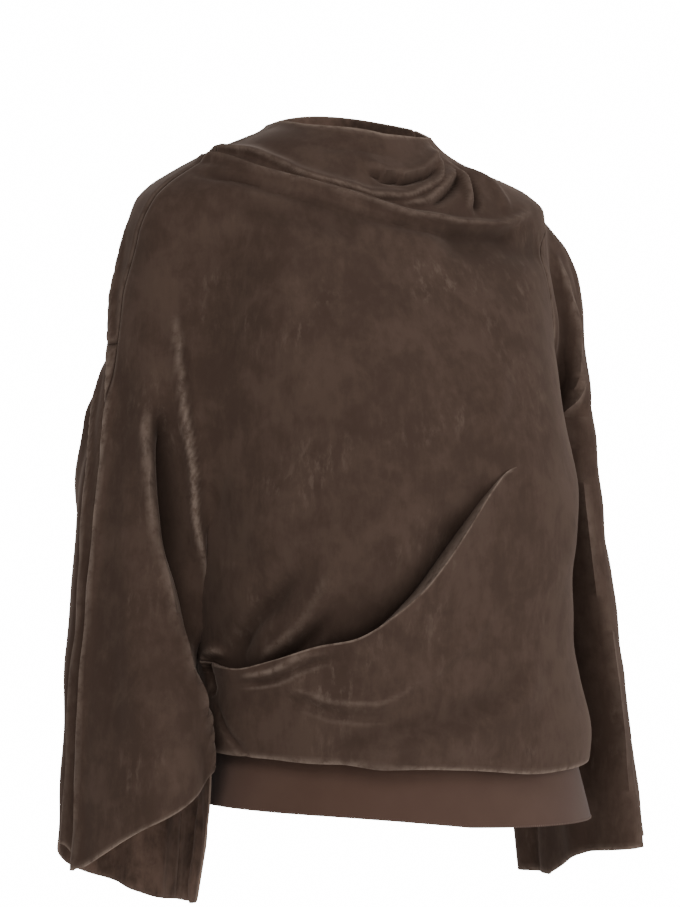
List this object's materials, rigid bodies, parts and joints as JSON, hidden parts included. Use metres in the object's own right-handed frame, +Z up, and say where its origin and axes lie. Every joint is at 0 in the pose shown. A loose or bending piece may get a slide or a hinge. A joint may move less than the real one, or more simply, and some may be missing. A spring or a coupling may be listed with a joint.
{
  "type": "draped velvet top",
  "caption": "Hip-length velvet top with a grown-on cowl neck, wide sleeves, a diagonal fold across the waist and a smooth band at the hem.",
  "frame": {"origin": "between the shoulders, where the wearer holds the top, at the height where its neck begins to rise", "axes": "+Z up along the body, +X to the wearer's left, the front faces -Y"},
  "size_m": [0.5305, 0.3007, 0.6546],
  "materials": {
    "velvet": "brown crushed velvet, soft pile",
    "jersey": "brown smooth matte jersey band"
  },
  "bodies": {
    "root": {"front": "velvet", "back": "velvet", "right_sleeve_back": "velvet", "left_sleeve": "velvet", "waistband": "jersey"}
  },
  "joints": []
}
